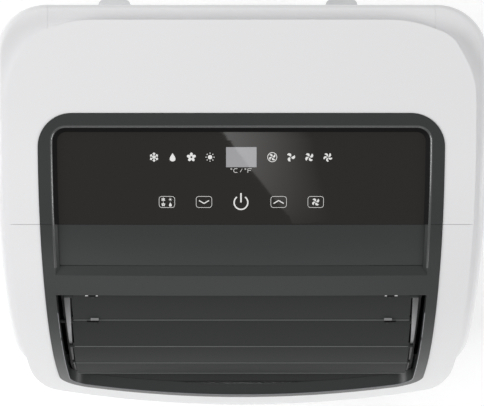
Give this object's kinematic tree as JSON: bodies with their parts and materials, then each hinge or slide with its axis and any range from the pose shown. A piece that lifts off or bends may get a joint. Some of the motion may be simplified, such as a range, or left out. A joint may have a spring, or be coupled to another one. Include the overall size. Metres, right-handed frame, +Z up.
{
  "type": "portable air conditioner",
  "caption": "Free-standing portable air conditioner on swivel casters, with a sloping front outlet louvre, touch controls on top and an exhaust hose collar behind.",
  "frame": {"origin": "middle of the outer box, on the floor", "axes": "+Z up, +Y towards the back, +X to the right as seen from the front"},
  "size_m": [0.4336, 0.4226, 0.7158],
  "materials": {
    "white_casing": "satin moulded",
    "light_grey_plastic": "fine texture",
    "dark_bezel": "satin moulded",
    "black_glass": "polished",
    "louvre_plastic": "satin moulded",
    "dark_inner_plastic": "matt",
    "grey_inner_plastic": "matt",
    "blower_plastic": "matt",
    "motor_steel": "zinc plated",
    "compressor_paint": "semi-gloss",
    "copper": "bare tube",
    "coil_aluminium": "mill fins",
    "zinc_steel": "zinc plated",
    "circuit_board": "solder mask",
    "display": "diffuser",
    "filter_mesh": "net",
    "black_rubber": "moulded",
    "screw_steel": "plated",
    "caster_plastic": "moulded",
    "caster_wheel": "tread"
  },
  "bodies": {
    "casing": {"top_cover": "white_casing", "front_panel": "white_casing", "left_side_shell": "white_casing", "right_side_shell": "white_casing", "rear_panel": "white_casing", "left_handle": "light_grey_plastic", "right_handle": "light_grey_plastic", "cord_hook_left": "light_grey_plastic", "cord_hook_right": "light_grey_plastic", "exhaust_collar": "light_grey_plastic", "control_bezel": "dark_bezel", "outlet_bezel": "dark_bezel", "control_glass": "black_glass", "louvre_cheeks": "louvre_plastic", "outlet_duct": "dark_inner_plastic", "outlet_guard": "dark_inner_plastic", "evaporator_scroll": "grey_inner_plastic", "condenser_scroll": "grey_inner_plastic", "mid_deck": "grey_inner_plastic", "base_pan": "grey_inner_plastic", "evaporator_motor": "motor_steel", "condenser_motor": "motor_steel", "louvre_motor": "louvre_plastic", "compressor": "compressor_paint", "accumulator": "compressor_paint", "refrigerant_pipes": "copper", "evaporator_coil": "coil_aluminium", "condenser_coil": "coil_aluminium", "control_box": "zinc_steel", "caster_plates": "zinc_steel", "control_board": "circuit_board", "display_module": "display", "cord_gland": "black_rubber", "rear_screws": "screw_steel"},
    "louvre_link_left": {"louvre_link_left": "louvre_plastic"},
    "louvre_link_right": {"louvre_link_right": "louvre_plastic"},
    "evaporator_blower": {"evaporator_blower": "blower_plastic"},
    "condenser_blower": {"condenser_blower": "blower_plastic"},
    "upper_intake": {"upper_intake_grille": "light_grey_plastic", "upper_dust_filter": "filter_mesh"},
    "lower_intake": {"lower_intake_grille": "light_grey_plastic", "lower_dust_filter": "filter_mesh"},
    "upper_drain_cap": {"upper_drain_cap": "light_grey_plastic"},
    "lower_drain_cap": {"lower_drain_cap": "light_grey_plastic"},
    "louvre_blade_1": {"louvre_blade_1": "louvre_plastic"},
    "caster_1": {"caster_fork_1": "caster_plastic", "caster_axle_1": "screw_steel"},
    "caster_wheel_1": {"caster_wheel_1": "caster_wheel"},
    "louvre_blade_2": {"louvre_blade_2": "louvre_plastic"},
    "caster_2": {"caster_fork_2": "caster_plastic", "caster_axle_2": "screw_steel"},
    "caster_wheel_2": {"caster_wheel_2": "caster_wheel"},
    "louvre_blade_3": {"louvre_blade_3": "louvre_plastic"},
    "caster_3": {"caster_fork_3": "caster_plastic", "caster_axle_3": "screw_steel"},
    "caster_wheel_3": {"caster_wheel_3": "caster_wheel"},
    "louvre_blade_4": {"louvre_blade_4": "louvre_plastic"},
    "caster_4": {"caster_fork_4": "caster_plastic", "caster_axle_4": "screw_steel"},
    "caster_wheel_4": {"caster_wheel_4": "caster_wheel"}
  },
  "joints": [
    {"name": "louvre_swing", "type": "hinge", "parent": "casing", "child": "louvre_blade_1", "pos_m": [0, -0.08339, 0.64728], "axis": [-1, 0, 0], "range_deg": [0, 50]},
    {"name": "louvre_swing_2", "type": "hinge", "parent": "casing", "child": "louvre_blade_2", "pos_m": [0, -0.10857, 0.61823], "axis": [-1, 0, 0], "range_deg": [0, 50]},
    {"name": "louvre_swing_3", "type": "hinge", "parent": "casing", "child": "louvre_blade_3", "pos_m": [0, -0.13308, 0.59027], "axis": [-1, 0, 0], "range_deg": [0, 50]},
    {"name": "louvre_swing_4", "type": "hinge", "parent": "casing", "child": "louvre_blade_4", "pos_m": [0, -0.15019, 0.55716], "axis": [-1, 0, 0], "range_deg": [0, 50]},
    {"name": "louvre_link_left_turn", "type": "hinge", "parent": "louvre_blade_1", "child": "louvre_link_left", "pos_m": [-0.137, -0.07089, 0.6437], "axis": [-1, 0, 0], "range_deg": [-50, 0]},
    {"name": "louvre_link_right_turn", "type": "hinge", "parent": "louvre_blade_1", "child": "louvre_link_right", "pos_m": [0.137, -0.07089, 0.6437], "axis": [-1, 0, 0], "range_deg": [-50, 0]},
    {"name": "evaporator_blower_spin", "type": "hinge", "parent": "casing", "child": "evaporator_blower", "pos_m": [0, 0.05, 0.48], "axis": [0, 1, 0], "continuous": true},
    {"name": "condenser_blower_spin", "type": "hinge", "parent": "casing", "child": "condenser_blower", "pos_m": [0, 0, 0.245], "axis": [1, 0, 0], "continuous": true},
    {"name": "upper_intake_pull", "type": "slide", "parent": "casing", "child": "upper_intake", "axis": [0, 1, 0], "range_m": [0, 0.06]},
    {"name": "lower_intake_pull", "type": "slide", "parent": "casing", "child": "lower_intake", "axis": [0, 1, 0], "range_m": [0, 0.06]},
    {"name": "upper_drain_cap_pull", "type": "slide", "parent": "casing", "child": "upper_drain_cap", "axis": [0, 1, 0], "range_m": [0, 0.025]},
    {"name": "lower_drain_cap_pull", "type": "slide", "parent": "casing", "child": "lower_drain_cap", "axis": [0, 1, 0], "range_m": [0, 0.025]},
    {"name": "caster_1_swivel", "type": "hinge", "parent": "casing", "child": "caster_1", "pos_m": [-0.165, -0.132, 0.034], "axis": [0, 0, 1], "continuous": true},
    {"name": "caster_1_roll", "type": "hinge", "parent": "caster_1", "child": "caster_wheel_1", "pos_m": [-0.165, -0.12, 0.015], "axis": [1, 0, 0], "continuous": true},
    {"name": "caster_2_swivel", "type": "hinge", "parent": "casing", "child": "caster_2", "pos_m": [0.165, -0.132, 0.034], "axis": [0, 0, 1], "continuous": true},
    {"name": "caster_2_roll", "type": "hinge", "parent": "caster_2", "child": "caster_wheel_2", "pos_m": [0.165, -0.12, 0.015], "axis": [1, 0, 0], "continuous": true},
    {"name": "caster_3_swivel", "type": "hinge", "parent": "casing", "child": "caster_3", "pos_m": [-0.165, 0.132, 0.034], "axis": [0, 0, 1], "continuous": true},
    {"name": "caster_3_roll", "type": "hinge", "parent": "caster_3", "child": "caster_wheel_3", "pos_m": [-0.165, 0.144, 0.015], "axis": [1, 0, 0], "continuous": true},
    {"name": "caster_4_swivel", "type": "hinge", "parent": "casing", "child": "caster_4", "pos_m": [0.165, 0.132, 0.034], "axis": [0, 0, 1], "continuous": true},
    {"name": "caster_4_roll", "type": "hinge", "parent": "caster_4", "child": "caster_wheel_4", "pos_m": [0.165, 0.144, 0.015], "axis": [1, 0, 0], "continuous": true}
  ],
  "couplings": [
    {"joint": "louvre_swing_2", "follows": "louvre_swing", "ratio": 1},
    {"joint": "louvre_swing_3", "follows": "louvre_swing", "ratio": 1},
    {"joint": "louvre_swing_4", "follows": "louvre_swing", "ratio": 1},
    {"joint": "louvre_link_left_turn", "follows": "louvre_swing", "ratio": -1},
    {"joint": "louvre_link_right_turn", "follows": "louvre_swing", "ratio": -1}
  ]
}
